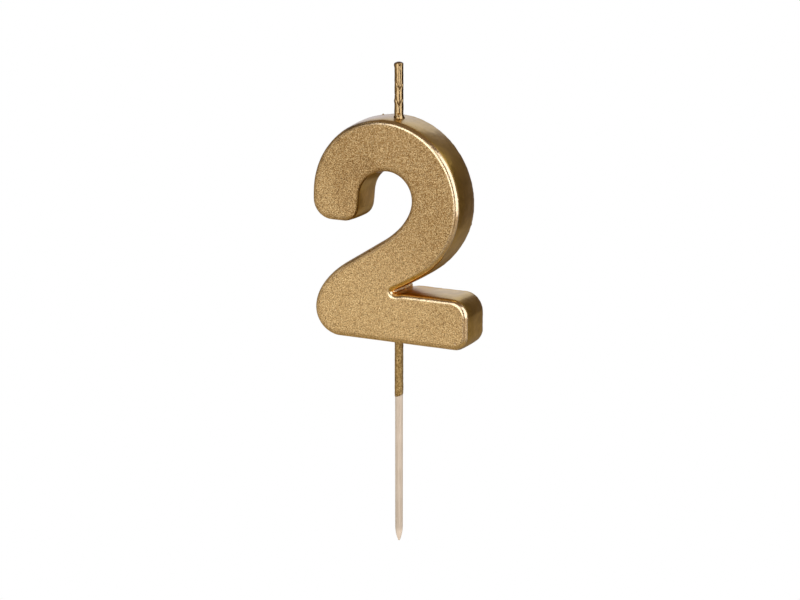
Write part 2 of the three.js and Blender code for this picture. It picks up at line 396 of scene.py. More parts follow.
def noise_at(corners, size, seed):
    """The ripple at each of many corners."""
    return np.array([ripple(corner, size, seed) for corner in corners])


def place_on_outline(corners):
    """How far each corner lies in from the outline, and the direction that points outwards there."""
    tree = kdtree.KDTree(len(outline))
    for i, point in enumerate(outline):
        tree.insert((point[0], 0, point[1]), i)
    tree.balance()
    nearest = np.array([tree.find((p[0], 0, p[2]))[1] for p in corners])
    inward = np.linalg.norm(outline[nearest] - corners[:, [0, 2]], axis=1)
    return inward, normals_of(outline)[nearest]


def lean_and_bulge(corners, out):
    """How far the walls stand out: most at mid-depth, and less towards the front edge."""
    y = corners[:, 1]
    half = (back_y - back_edge - front_y - front_edge) / 2
    middle = front_y + front_edge + half
    barrel = 0.08 * mm * np.clip(1 - ((y - middle) / half) ** 2, 0, 1)
    easing = 0.3 * mm * np.clip(1 - (y - front_y) / (4.5 * mm), 0, 1) ** 2
    easing *= np.clip(1 + 1.2 * out[:, 0], 0, 1) * np.clip(1 + 1.5 * out[:, 1], 0, 1)
    return barrel - easing


def shoulder_and_hump(corners, out):
    """How far two broad swellings stand out, which grow towards the back."""
    towards_back = np.clip((corners[:, 1] - front_y - front_edge) / (8.6 * mm), 0, 1)
    at_shoulder = bump_at(across(corners, shoulder), 10 * mm)
    at_hump = bump_at(across(corners, hump), 15 * mm) * np.clip(-2 * out[:, 0], 0, 1)
    return (0.70 * mm * at_shoulder + 0.17 * mm * at_hump) * towards_back


print("slope of a flaw, in quarters of its reach:", bump_at(np.arange(5), 4).round(2))

# %% [markdown]
# The edges get the smaller flaws: the torn rim at the back, a spike of wax on it, and the chip in
# front. The last function adds all of the flaws up. It moves the corners of the walls outwards or
# inwards and those of the faces along Y.

# %% Flaws of the edges
def trimmed_rim(corners, inward, out):
    """How far the trimmed edge stands out: torn, turned up on top and worn on the right."""
    y = corners[:, 1]
    rough = noise_at(corners, 1.1 * mm, 21)
    coarse = noise_at(corners, 4 * mm, 27)
    at_back = bump_at(back_y - y, 0.9 * mm) * np.clip(1 - inward / (0.8 * mm), 0, 1)
    torn = at_back * mm * (0.08 * rough + 0.30 * np.clip(rough + coarse - 0.40, 0, 1))
    at_rim = bump_at(back_y - y, 1.1 * mm) * np.clip(1 - inward / (0.9 * mm), 0, 1)
    turned_up = 0.13 * mm * at_rim * np.clip(1.4 * out[:, 1] - 0.4, 0, 1) ** 2
    worn = 0.12 * mm * at_rim * np.clip(out[:, 0], 0, 1)
    return torn + turned_up - worn


def burr_and_nick(corners):
    """How far the spike of wax on the back edge stands out, and the chip in the front edge in."""
    y = corners[:, 1]
    spike = bump_at(across(corners, burr), 0.42 * mm) * bump_at(back_y - 0.3 * mm - y, 0.6 * mm)
    from_chip = np.hypot(across(corners, nick), y - front_y - 0.5 * mm)
    return 0.3 * mm * (spike - bump_at(from_chip, 0.55 * mm))


def weather(corners):
    """Moves the corners of the skin a little, as casting, trimming and dipping did."""
    y = corners[:, 1]
    inward, out = place_on_outline(corners)
    on_wall = np.clip(1 - inward / front_edge, 0, 1)
    swell = noise_at(corners, 7 * mm, 3) + 0.4 * noise_at(corners, 2.5 * mm, 8)
    broad = lean_and_bulge(corners, out) + shoulder_and_hump(corners, out)
    side = (0.035 * mm * swell + broad) * on_wall
    side += trimmed_rim(corners, inward, out) + burr_and_nick(corners)
    pressed = 0.03 * mm * swell * (1 - on_wall) * (y > 0)
    for pit_x, pit_z, radius, depth in pits:
        pressed += depth * bump_at(across(corners, (pit_x, pit_z)), radius) * (y < 0)
    return corners + np.stack([out[:, 0] * side, pressed, out[:, 1] * side], 1)


# %% [markdown]
# ## The gilt skin
# The skin could be a single sheet with a solidify modifier, but that would copy each pit to the
# inside. Its two sides are made one by one instead: a finely divided outside with the flaws, and a
# plain inside that the wax body fills. Together they are one closed piece.

# %% Gilt skin
outer, outer_faces = plate(outer_steps, 0.5 * mm, pits)
outer = weather(outer)
inner, inner_faces = plate(inner_steps, 3 * mm, [])
skin_faces = outer_faces + [tuple(k + len(outer) for k in face[::-1]) for face in inner_faces]
gilt_skin = make_piece(
    "gilt_skin", np.concatenate([outer, inner]), skin_faces, ["numeral_skin"]
)

# %% [markdown]
# ## The bead in the crevice
# Where the foot meets the diagonal there is a narrow crevice. Lacquer and wax stayed in its root as
# a lumpy bead, which gets taller towards the back and ends there in a torn edge. Metaballs would
# flow together like that, but their mesh is hard to keep narrow. So the bead is a bar of ellipses
# threaded on a line, with noise for the lumps.

# %% Bead
def make_bead(rows=72, around=20):
    """The lumpy bar of wax and lacquer in the root of the crevice."""
    corners, faces = [], []
    front_end = Vector((0.62 * mm, front_y + 0.75 * mm, 14.08 * mm))
    back_end = Vector((1.42 * mm, back_y - 0.18 * mm, 14.28 * mm))
    for i in range(rows + 1):
        t = i / rows
        middle = front_end.lerp(back_end, t)
        closing = math.sqrt(max(0.0, 1 - (2 * t - 1) ** 24))  # 1 along the bar and 0 at its ends
        wide = (0.27 + 0.12 * t) * mm * closing
        tall = (0.28 + 0.36 * t**2) * mm * closing
        for j in range(around):
            angle = 2 * math.pi * j / around
            spot = middle + Vector((wide * math.cos(angle), 0, tall * math.sin(angle)))
            lumps = 1 + 0.60 * ripple(spot, 0.50 * mm, 4) + 0.25 * ripple(spot, 0.22 * mm, 9)
            corners.append(middle + (spot - middle) * lumps)
    for i in range(rows):
        for j in range(around):
            k = (j + 1) % around
            low, high = i * around, (i + 1) * around
            faces.append((low + j, low + k, high + k, high + j))
    return make_piece("crevice_bead", corners, faces)


bead = make_bead()

# %% [markdown]
# ## Turned pieces
# The wick and the pick are round. A spin or screw modifier could turn their profiles, but leaves no
# say over single corners. So each is a profile of heights and radii that is turned about the Z axis
# here, and a relief is added to the radius, which may differ at each height and azimuth. That is how
# a lathe and a modelling knife would share the work.

# %% Turning
def turned(profile_points, around, relief):
    """Corners and faces of a closed profile of (height, radius), with a relief on its outside."""
    corners, faces = [], []
    for height, radius, carved in profile_points:
        for turn in range(around):
            azimuth = 360 * turn / around
            raised = relief(azimuth, height) * carved if carved else 0
            corners.append(outward(azimuth, 0) * (radius + raised) + Vector((0, 0, height)))
    for row in range(len(profile_points)):
        onward = (row + 1) % len(profile_points)
        if max(profile_points[row][1], profile_points[onward][1]) < 0.001 * mm:
            continue  # both ends lie on the axis, with nothing between them
        for turn in range(around):
            beside = (turn + 1) % around
            faces.append(
                (
                    row * around + turn,
                    row * around + beside,
                    onward * around + beside,
                    onward * around + turn,
                )
            )
    return corners, faces


def arc_apart(azimuth, other, radius):
    """How far an azimuth lies from another one, along a surface of that radius."""
    return radius * math.radians((azimuth - other + 180) % 360 - 180)


def dent(sideways, upwards, width, length):
    """1 in the middle of a soft round dent or swelling, and 0 away from it."""
    return math.exp(-((sideways / width) ** 2) - (upwards / length) ** 2)


print("a quarter turn at radius 1:", round(arc_apart(90, 0, 1), 3))

# %% [markdown]
# ## The wick
# The wick is a tight cotton braid. Its dip filled it almost smooth, so only some crossings of the
# strands still show, as V-shaped grooves, with a long shallow groove between them. Its head is a
# swollen drop with a notch, and its foot a ragged bead where the dip ran down onto the numeral.
# Braided curves would show every strand. A round rod with a list of grooves and lumps shows only
# those that are left.

# %% Grooves and lumps of the wick
wick_height = 14.6 * mm  # of the solid, above the numeral
wick_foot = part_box("wick_coat")[1].z - wick_height
wick_top = wick_foot + wick_height + 0.25 * mm  # the drop stands above the solid
wick_radius = 1.19 * mm
cord_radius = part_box("wick_cord")[1].x + 0.03 * mm
crossings = [  # azimuth, height above the foot and depth of each V-shaped groove
    (38, 7.6 * mm, 0.30 * mm),
    (27, 3.3 * mm, 0.32 * mm),
    (150, 10.4 * mm, 0.12 * mm),
    (165, 5.2 * mm, 0.16 * mm),
    (205, 12.0 * mm, 0.10 * mm),
    (215, 7.6 * mm, 0.14 * mm),
    (230, 2.8 * mm, 0.18 * mm),
    (290, 9.2 * mm, 0.14 * mm),
    (300, 5.9 * mm, 0.10 * mm),
]
swellings = [  # azimuth, height above the foot, size and rise of lumps, or of dents if below 0
    (-63, 13.9 * mm, 0.55 * mm, 0.16 * mm),
    (40, 13.9 * mm, 0.30 * mm, -0.26 * mm),
    (-60, 4.4 * mm, 0.55 * mm, 0.13 * mm),
    (-75, 1.9 * mm, 1.00 * mm, 0.07 * mm),
    (140, 3.0 * mm, 0.80 * mm, 0.09 * mm),
    (20, 0.9 * mm, 0.30 * mm, -0.22 * mm),
    (255, 0.9 * mm, 0.35 * mm, -0.18 * mm),
]
print(f"wick: {len(crossings)} crossings, {len(swellings)} lumps and dents")

# %% Wick
def wick_relief(azimuth, height):
    """How far the dipped braid stands out of a round rod."""
    above = height - wick_foot
    raised = 0
    for middle, crossing, depth in crossings:
        sideways = arc_apart(azimuth, middle, wick_radius)
        off_leg = above - crossing - 1.7 * abs(sideways)  # 0 along the two legs of the V
        raised -= depth * dent(sideways, off_leg, 0.9 * mm, 0.26 * mm)
    for middle, lump, size, rise in swellings:
        sideways = arc_apart(azimuth, middle, wick_radius)
        raised += rise * dent(sideways, above - lump, size, size)
    long_groove = dent(arc_apart(azimuth, 41, wick_radius), above - 11 * mm, 0.22 * mm, 2.6 * mm)
    raised -= 0.10 * mm * long_groove
    spot = outward(azimuth, 0) * wick_radius + Vector((0, 0, height))
    at_foot = math.exp(-max(above, 0) / (0.5 * mm))
    raised += 0.03 * mm * ripple(spot, 0.9 * mm, 5)
    raised += at_foot * mm * (0.26 + 0.30 * ripple(spot, 0.7 * mm, 12))
    return raised


def make_wick():
    """The gilt coat of the wick, hollow round the cotton."""
    dome = 0.62 * mm
    overlap = 0.9 * mm  # how far the coat reaches down into the numeral
    dome_start = wick_top - dome
    heights = np.arange(wick_foot - overlap, dome_start, 0.11 * mm)
    outside = [(z, wick_radius, 1) for z in heights]
    for i in range(1, 9):
        a = math.pi / 2 * i / 8
        outside.append((dome_start + dome * math.sin(a), wick_radius * math.cos(a), math.cos(a)))
    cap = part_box("wick_cord")[1].z + 0.03 * mm
    inside = [(cap, 0, 0), (cap, cord_radius, 0), (wick_foot - overlap, cord_radius, 0)]
    corners, faces = turned(outside + inside, 56, wick_relief)
    return make_piece("wick_dip", corners, faces, ["wick_coat"])


wick = make_wick()

# %% [markdown]
# ## The pick
# The pick is a round stick of pale wood, which a sharpener left with a rounded point. A cylinder and
# a cone would meet in a hard ring, so the radius shrinks along a parabola instead, and the point
# ends in a small flat. The lathe left shallow flutes along the grain.

# %% Pick
pick_low, pick_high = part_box("pick")
pick_radius = 1.05 * mm
point_length = 4.3 * mm
point_radius = 0.25 * mm


def wood_relief(azimuth, height):
    """Shallow flutes along the grain, and the pick's slight taper."""
    ray = outward(azimuth, 0)
    flutes = noise.noise(Vector((3 * ray.x, -3 * ray.y, 40 * height)))
    taper = 0.02 * mm * (height - pick_low.z) / (60 * mm)
    return 0.012 * mm * flutes + taper


def make_pick():
    """The bare wooden stick, with its rounded point."""
    rows = [(pick_high.z, 0, 0), (pick_high.z, pick_radius, 1)]
    straight_end = pick_low.z + point_length
    rows += [(z, pick_radius, 1) for z in np.linspace(pick_high.z, straight_end, 60)[1:]]
    for i in range(1, 17):
        t = i / 16
        height = straight_end - (point_length - point_radius / 2) * t
        rows.append((height, pick_radius + (point_radius - pick_radius) * t * t, 1 - t))
    rows.append((pick_low.z, 0, 0))
    corners, faces = turned(rows, 32, wood_relief)
    return make_piece("pick_wood", corners, faces, ["pick"])


pick = make_pick()

# %% [markdown]
# ## The coat of the pick
# The dip ran down the pick further than it should and dried grainy, with a slanting and slightly
# wavy edge. It could be painted on the wood, but it has a thickness that the eye sees at that edge.
# So it is a thin tube of its own, flared where it joins the numeral.

# %% Coat of the pick
coat_low, coat_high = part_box("pick_coat")
coat_radius = coat_high.x
coat_top = 0.1 * mm  # just inside the numeral


def coat_relief(azimuth, height):
    """The grainy, wavy surface of the coat and its flare under the numeral."""
    spot = outward(azimuth, 0) * coat_radius + Vector((0, 0, height))
    flare = 0.25 * mm * math.exp(min(height, 0) / (0.35 * mm))
    waves = 0.035 * mm * ripple(spot, 1.6 * mm, 2) + 0.05 * mm * ripple(spot, 0.45 * mm, 6)
    return flare + waves


def make_pick_coat():
    """The gilt coat of the pick, a thin tube whose lower edge slants and waves."""
    lip = 0.5 * mm
    rows = [(z, coat_radius, 1) for z in np.linspace(coat_top, coat_low.z + lip, 90)]
    for i in range(1, 6):
        a = math.pi / 2 * i / 5
        inset = (coat_radius - pick_radius) * (1 - math.cos(a))
        rows.append((coat_low.z + lip * (1 - math.sin(a)), coat_radius - inset, 1 - i / 5))
    bore = pick_radius - 0.03 * mm
    rows += [(coat_low.z, bore, 0), (coat_top, bore, 0)]
    corners, faces = turned(rows, 48, coat_relief)
    slanted = []
    for corner in corners:
        share = min(1, max(0, corner.z / coat_low.z)) ** 6
        wave = 0.22 * mm * ripple((corner.x, corner.y, 0), 1.1 * mm, 7)
        lift = 0.45 * mm * (corner.x / coat_radius + 1) + wave
        slanted.append(corner + Vector((0, 0, share * lift)))
    return make_piece("pick_dip", slanted, faces, ["pick_coat"])


pick_coat = make_pick_coat()

# %% [markdown]
# ## The stage
# A polished or gilt thing shows what is round it, so the studio is part of the finish. Lamps would
# light the candle well enough, but in the gilt they show as hard shapes with nothing between them.
# So the studio is made of patches of a sphere round the candle: two large soft lights, in front on
# the left and on the right, each with a warm, dimmer hem below, and tinted cards for whatever else
# the gilt shows: the dark gaps between the lights, the table and the pale room behind. The patches
# are hidden from the camera.

# %% Patches of the studio
floor_z = cad_low.z


def studio_patch(name, azimuths, elevations, distance):
    """A curved card round the candle, between two azimuths and two elevations, in degrees."""
    columns, rows = 16, 10
    corners, faces = [], []
    for i in range(columns + 1):
        azimuth = azimuths[0] + (azimuths[1] - azimuths[0]) * i / columns
        for j in range(rows + 1):
            elevation = elevations[0] + (elevations[1] - elevations[0]) * j / rows
            ray = outward(azimuth, elevation)
            reach = distance
            if ray.z < 0:  # stays above the floor
                reach = min(distance, (floor_z + 1 * mm - camera_target.z) / ray.z)
            corners.append(camera_target + ray * reach)
    for i in range(columns):
        for j in range(rows):
            a, b = i * (rows + 1) + j, (i + 1) * (rows + 1) + j
            faces.append((a, b, b + 1, a + 1))
    mesh = bpy.data.meshes.new(name)
    mesh.from_pydata([tuple(corner) for corner in corners], [], faces)
    patch = bpy.data.objects.new(name, mesh)
    bpy.context.scene.collection.objects.link(patch)
    patch.visible_camera = False
    return patch


def glow(name, colour):
    """A material that gives off light and reflects none."""
    material = bpy.data.materials.new(name)
    material.use_nodes = True
    tree = material.node_tree
    tree.nodes.clear()
    lamp = tree.nodes.new("ShaderNodeEmission")
    lamp.inputs["Color"].default_value = (*colour, 1)
    lamp.inputs["Strength"].default_value = 1
    end = tree.nodes.new("ShaderNodeOutputMaterial")
    tree.links.new(lamp.outputs["Emission"], end.inputs["Surface"])
    return material


print("floor at Z in mm:", round(floor_z / mm, 1))

# %% [markdown]
# Each patch is one row of a list: where it hangs, how far away, and the colour of its light. A
# colour above 1 is brighter than white. The softboxes light everything. A card is seen by
# reflections alone, so its tint colours the gilt that faces it and nothing else. The tints were
# tuned one by one, until each part of the gilt looked right from the camera.

# %% Softboxes and cards
softboxes = [  # name, azimuths, elevations, distance, colour of the light
    ("left_softbox", (-30, 26), (-7, 46), 420 * mm, (2.45, 2.50, 2.70)),
    ("left_softbox_hem", (-30, 26), (-17, -7), 420 * mm, (0.86, 0.74, 0.55)),
    ("right_softbox", (52, 96), (-8, 50), 420 * mm, (2.55, 2.60, 2.80)),
    ("right_softbox_hem", (52, 96), (-17, -8), 420 * mm, (0.74, 0.60, 0.42)),
]
cards = [  # name, azimuths, elevations, distance, colour of the light
    ("gap_card", (26, 52), (-9, 36), 400 * mm, (0.10, 0.065, 0.025)),
    ("gap_hem", (26, 52), (-35, -9), 400 * mm, (0.38, 0.25, 0.12)),
    ("right_card", (97, 151), (-13, 42), 110 * mm, (0.05, 0.03, 0.01)),
    ("right_floor_card", (100, 186), (-84, -13), 300 * mm, (0.27, 0.24, 0.21)),
    ("slot", (148, 157), (-1, 17), 430 * mm, (0.90, 0.78, 0.66)),
    ("low_backdrop", (140, 157), (-13, 4), 450 * mm, (0.62, 0.52, 0.50)),
    ("far_backdrop", (157, 184), (-13, 8), 450 * mm, (0.22, 0.21, 0.29)),
    ("high_backdrop", (140, 184), (8, 50), 450 * mm, (0.13, 0.11, 0.13)),
    ("counter_card", (184, 215), (-50, -13), 300 * mm, (0.08, 0.04, 0.0)),
    ("left_card", (-75, -30), (-17, 30), 320 * mm, (0.55, 0.46, 0.33)),
    ("far_left_card", (-125, -75), (-17, 14), 320 * mm, (0.22, 0.18, 0.12)),
    ("upper_left_card", (-75, -30), (30, 50), 320 * mm, (0.14, 0.11, 0.07)),
    ("upper_far_left_card", (-125, -75), (14, 50), 320 * mm, (0.12, 0.09, 0.05)),
    ("low_left_card", (-150, -125), (-17, -3), 320 * mm, (0.20, 0.16, 0.10)),
    ("front_floor_card", (-150, 100), (-33, -16), 320 * mm, (0.58, 0.52, 0.43)),
    ("near_floor_card", (-150, 100), (-84, -33), 320 * mm, (0.46, 0.36, 0.19)),
    ("top_card", (-180, 180), (50, 89), 440 * mm, (0.24, 0.165, 0.085)),
    ("back_card", (184, 236), (2, 45), 400 * mm, (0.80, 0.91, 1.28)),
    ("low_back_card", (198, 236), (-13, 2), 400 * mm, (1.0, 1.15, 1.5)),
    ("right_back_card", (180, 197), (24, 50), 400 * mm, (0.90, 1.02, 1.50)),
    ("upper_back_card", (197, 236), (45, 50), 400 * mm, (0.20, 0.15, 0.07)),
]


def hang(row, lights_all):
    """Hangs up one patch of a list, which lights all surfaces or is only seen in reflections."""
    name, azimuths, elevations, distance, colour = row
    patch = studio_patch(name, azimuths, elevations, distance)
    patch.data.materials.append(glow(name, colour))
    patch.visible_diffuse = lights_all
    patch.visible_shadow = lights_all


for row in softboxes:
    hang(row, lights_all=True)
for row in cards:
    hang(row, lights_all=False)
print(f"{len(softboxes)} softboxes with their hems, {len(cards)} cards")

# %% [markdown]
# ## The floor and the backdrop
# The candle stands in a white studio. A brighter lamp could make it white, but would also bleach the
# gold. So floor and world are plain to the light that falls on the candle, and turn into a pure
# white only where the camera, a reflection or a clear thing looks at them.

# %% Floor and backdrop
def white_where_seen(tree, plain, end_socket):
    """Shows plain to diffuse light, and white of strength 1 to the camera and to reflections."""
    path = tree.nodes.new("ShaderNodeLightPath")
    seen = path.outputs["Is Camera Ray"]
    for kind in ("Is Glossy Ray", "Is Transmission Ray"):
        either = tree.nodes.new("ShaderNodeMath")
        either.operation = "MAXIMUM"
        tree.links.new(seen, either.inputs[0])
        tree.links.new(path.outputs[kind], either.inputs[1])
        seen = either.outputs[0]
    on_floor = plain.type == "BSDF_DIFFUSE"
    white = tree.nodes.new("ShaderNodeEmission" if on_floor else "ShaderNodeBackground")
    white.inputs["Color"].default_value = (1, 1, 1, 1)
    white.inputs["Strength"].default_value = 1
    mix = tree.nodes.new("ShaderNodeMixShader")
    tree.links.new(seen, mix.inputs[0])
    tree.links.new(plain.outputs[0], mix.inputs[1])
    tree.links.new(white.outputs[0], mix.inputs[2])
    tree.links.new(mix.outputs[0], end_socket)


world = bpy.data.worlds.new("studio")
bpy.context.scene.world = world
world.use_nodes = True
world.node_tree.nodes.clear()
dim = world.node_tree.nodes.new("ShaderNodeBackground")
dim.inputs["Color"].default_value = (1, 1, 1, 1)
dim.inputs["Strength"].default_value = 0.5
world_end = world.node_tree.nodes.new("ShaderNodeOutputWorld")
white_where_seen(world.node_tree, dim, world_end.inputs["Surface"])

floor_half = 3.0  # metres from its middle to its edges
floor_mesh = bpy.data.meshes.new("floor")
floor_mesh.from_pydata(
    [(x * floor_half, y * floor_half, floor_z) for x, y in ((-1, -1), (1, -1), (1, 1), (-1, 1))],
    [],
    [(0, 1, 2, 3)],
)
floor = bpy.data.objects.new("floor", floor_mesh)
bpy.context.scene.collection.objects.link(floor)
floor_paint = bpy.data.materials.new("floor")
floor_paint.use_nodes = True
floor_paint.node_tree.nodes.clear()
matt = floor_paint.node_tree.nodes.new("ShaderNodeBsdfDiffuse")
matt.inputs["Color"].default_value = (0.8, 0.8, 0.8, 1)
floor_end = floor_paint.node_tree.nodes.new("ShaderNodeOutputMaterial")
white_where_seen(floor_paint.node_tree, matt, floor_end.inputs["Surface"])
floor_mesh.materials.append(floor_paint)
print("floor:", 2 * floor_half, "m wide")

# %% [markdown]
# ## Node helpers
# A finish is a tree of nodes: textures make masks, masks mix colours, and a shader at the end takes
# them. An image could hold it all, but only at one size and with seams. Nodes are reckoned anew at
# each point of the surface. Helpers keep the trees short: one puts a node in a tree and fills its
# sockets, and others join two values or several masks.

# %% Helpers for nodes
def fill(tree, node, sockets):
    """Sets a node's sockets, each by its name or number, to a value or to the socket feeding it."""
    for socket, value in sockets.items():
        if isinstance(value, bpy.types.NodeSocket):
            tree.links.new(value, node.inputs[socket])
        else:
            node.inputs[socket].default_value = value


def put(tree, kind, sockets, **settings):
    """Adds a node with these settings and sockets."""
    node = tree.nodes.new(kind)
    for setting, value in settings.items():
        setattr(node, setting, value)
    fill(tree, node, sockets)
    return node


def maths(tree, operation, a, b):
    """The result of one step of arithmetic on two values or sockets."""
    return put(tree, "ShaderNodeMath", {0: a, 1: b}, operation=operation).outputs[0]


def all_of(tree, *masks):
    """The product of some masks, which is 1 only where all of them are."""
    product = masks[0]
    for mask in masks[1:]:
        product = maths(tree, "MULTIPLY", product, mask)
    return product


def any_of(tree, *masks):
    """The highest of some masks at each place."""
    highest = masks[0]
    for mask in masks[1:]:
        highest = maths(tree, "MAXIMUM", highest, mask)
    return highest


# %% [markdown]
# Masks come from steps in a value: a depth, a distance, or how far the surface turns towards a
# direction. A colour ramp could make such a step too, but a smooth step between two numbers in
# metres can be read off the candle. A bump turns a height into a normal and costs no faces.

# %% Helpers for masks, colours and bumps
def ramp(tree, value, low, high, to_low=0.0, to_high=1.0):
    """Value from low to high as a smooth step from to_low to to_high."""
    sockets = {"Value": value, "From Min": low, "From Max": high}
    sockets |= {"To Min": to_low, "To Max": to_high}
    return put(tree, "ShaderNodeMapRange", sockets, interpolation_type="SMOOTHSTEP").outputs[0]


def blended(tree, share, a, b):
    """Colour a where share is 0 and colour b where it is 1."""
    node = put(tree, "ShaderNodeMix", {0: share}, data_type="RGBA")
    for socket, colour in ((6, a), (7, b)):
        if isinstance(colour, bpy.types.NodeSocket):
            tree.links.new(colour, node.inputs[socket])
        else:
            node.inputs[socket].default_value = (*colour, 1)
    return node.outputs[2]


def vector_maths(tree, operation, a, b, output="Vector"):
    """The result of one step of arithmetic on two vectors or sockets."""
    return put(tree, "ShaderNodeVectorMath", {0: a, 1: b}, operation=operation).outputs[output]


def towards(tree, vector, direction):
    """How far a vector reaches in a direction."""
    return vector_maths(tree, "DOT_PRODUCT", vector, direction, "Value")


def apart(tree, place, spot):
    """How far a place is from a spot."""
    return vector_maths(tree, "DISTANCE", place, spot, "Value")


def bumped(tree, height, depth, normal=None):
    """A normal that follows a height from 0 to 1, as deep as depth."""
    sockets = {"Height": height, "Distance": depth, "Strength": 1.0}
    if normal is not None:
        sockets["Normal"] = normal
    return put(tree, "ShaderNodeBump", sockets).outputs["Normal"]


# %% [markdown]
# Two more helpers start a tree. A node group is a piece of a tree that several materials can share.
# A new material comes with Blender's Principled shader, which can be metal, wood or wax. Its place
# is measured on the candle, in metres, so a texture stays where it is when the candle is moved.

# %% Groups and materials
def new_group(name, inputs, outputs):
    """An empty node group with these inputs and outputs, and its two end nodes."""
    group = bpy.data.node_groups.new(name, "ShaderNodeTree")
    for socket, value in inputs.items():
        kind = "NodeSocketVector" if isinstance(value, tuple) else "NodeSocketFloat"
        made = group.interface.new_socket(name=socket, in_out="INPUT", socket_type=kind)
        made.default_value = value
    for socket in outputs:
        group.interface.new_socket(name=socket, in_out="OUTPUT", socket_type="NodeSocketFloat")
    result = group.nodes.new("NodeGroupOutput").inputs
    return group, group.nodes.new("NodeGroupInput").outputs, result


def new_material(name):
    """A material with its tree, its Principled shader and the place on the candle, in metres."""
    material = bpy.data.materials.new(name)
    material.use_nodes = True
    tree = material.node_tree
    place = tree.nodes.new("ShaderNodeTexCoord").outputs["Object"]
    return material, tree, tree.nodes["Principled BSDF"], place


def grouped(tree, group, place, size):
    """The outputs of a node group at a place, with its size."""
    node = tree.nodes.new("ShaderNodeGroup")
    node.node_tree = group
    fill(tree, node, {"Place": place, "Size": size})
    return node.outputs


def clouds(tree, vector, detail, roughness):
    """Soft noise with waves that are about as long as the vector's unit."""
    sockets = {"Vector": vector, "Scale": 1.0, "Detail": detail, "Roughness": roughness}
    return put(tree, "ShaderNodeTexNoise", sockets).outputs["Fac"]


# %% [markdown]
# ## Grain and ripple
# The dip is a lacquer full of gold flakes. Where it dried slowly, as on the face and on the pick, the
# flakes stand up like fine sand: some catch the light, and the hollows between them stay dark. Where
# it ran off quickly, as on the walls and the wick, it is smooth with a soft ripple. Real grains would
# be far too many for a mesh, and both effects are on more than one material. So each is a group:
# grain puts out its height, a mask of painted glints on the flakes and one of painted shade in the
# hollows, and ripple puts out its height.

# %% Grain and ripple
def counted_in_sizes(group, given):
    """The place in a group, counted in its size instead of in metres."""
    finer = maths(group, "DIVIDE", 1.0, given["Size"])
    sockets = {0: given["Place"], "Scale": finer}
    return put(group, "ShaderNodeVectorMath", sockets, operation="SCALE").outputs[0]


def make_grain():
    """Fine sand of gold flakes, with masks for painted glints and painted shade. Size is about the
    width of one grain.
    """
    inputs = {"Place": (0.0, 0.0, 0.0), "Size": 0.3 * mm}
    group, given, result = new_group("gilt grain", inputs, ["Height", "Flake glints", "Hollow shade"])
    scaled = counted_in_sizes(group, given)
    sand = clouds(group, scaled, detail=2.0, roughness=0.65)
    group.links.new(sand, result["Height"])
    group.links.new(ramp(group, sand, 0.50, 0.34), result["Hollow shade"])
    flake_glints = put(group, "ShaderNodeTexVoronoi", {"Vector": scaled, "Scale": 1.25})
    tone = put(group, "ShaderNodeSeparateColor", {"Color": flake_glints.outputs["Color"]})
    group.links.new(ramp(group, tone.outputs[0], 0.35, 1.0), result["Flake glints"])
    return group


def make_ripple():
    """Soft unevenness of a coat that ran. Size is the length of a wave."""
    inputs = {"Place": (0.0, 0.0, 0.0), "Size": 3.0 * mm}
    group, given, result = new_group("dip ripple", inputs, ["Height"])
    waves = clouds(group, counted_in_sizes(group, given), detail=3.0, roughness=0.5)
    group.links.new(waves, result["Height"])
    return group


grain_group, ripple_group = make_grain(), make_ripple()
print("groups:", grain_group.name, "and", ripple_group.name)

# %% [markdown]
# ## Zones of the numeral
# The numeral's finish changes over its surface, as the dip ran and dried. The face is sandy, and the
# sand thins out on the rounded front edge. On the left and lower edges it reaches further round, and
# on the bowl's short end it stops at a ragged dark line, which is painted shade. Round the crevice
# and under the diagonal, amber shade is painted, with warm interreflection. The face is painted
# darker from its foot to its top, as shade, and the rounded edge elsewhere gets a paler gold that
# whitens its highlights. The back was the mould's open side, and is taken to be dull and sandy. Each
# of these could be a material of its own, but then they would meet in hard lines. So each is a mask,
# made from the depth behind the face, the distance from a spot, or the direction in which the
# surface points.

# %% Zones of the numeral
short_end = (-8 * mm, front_y, 41 * mm)  # the middle of the bowl's short end, on the face
crevice_root = (3 * mm, 0.0, 14.5 * mm)
left_and_down = (-1.0, 0.0, -0.45)
foot_to_bowl = (0.6, 0.0, 1.0)  # the face is painted darker, as shade, in this direction


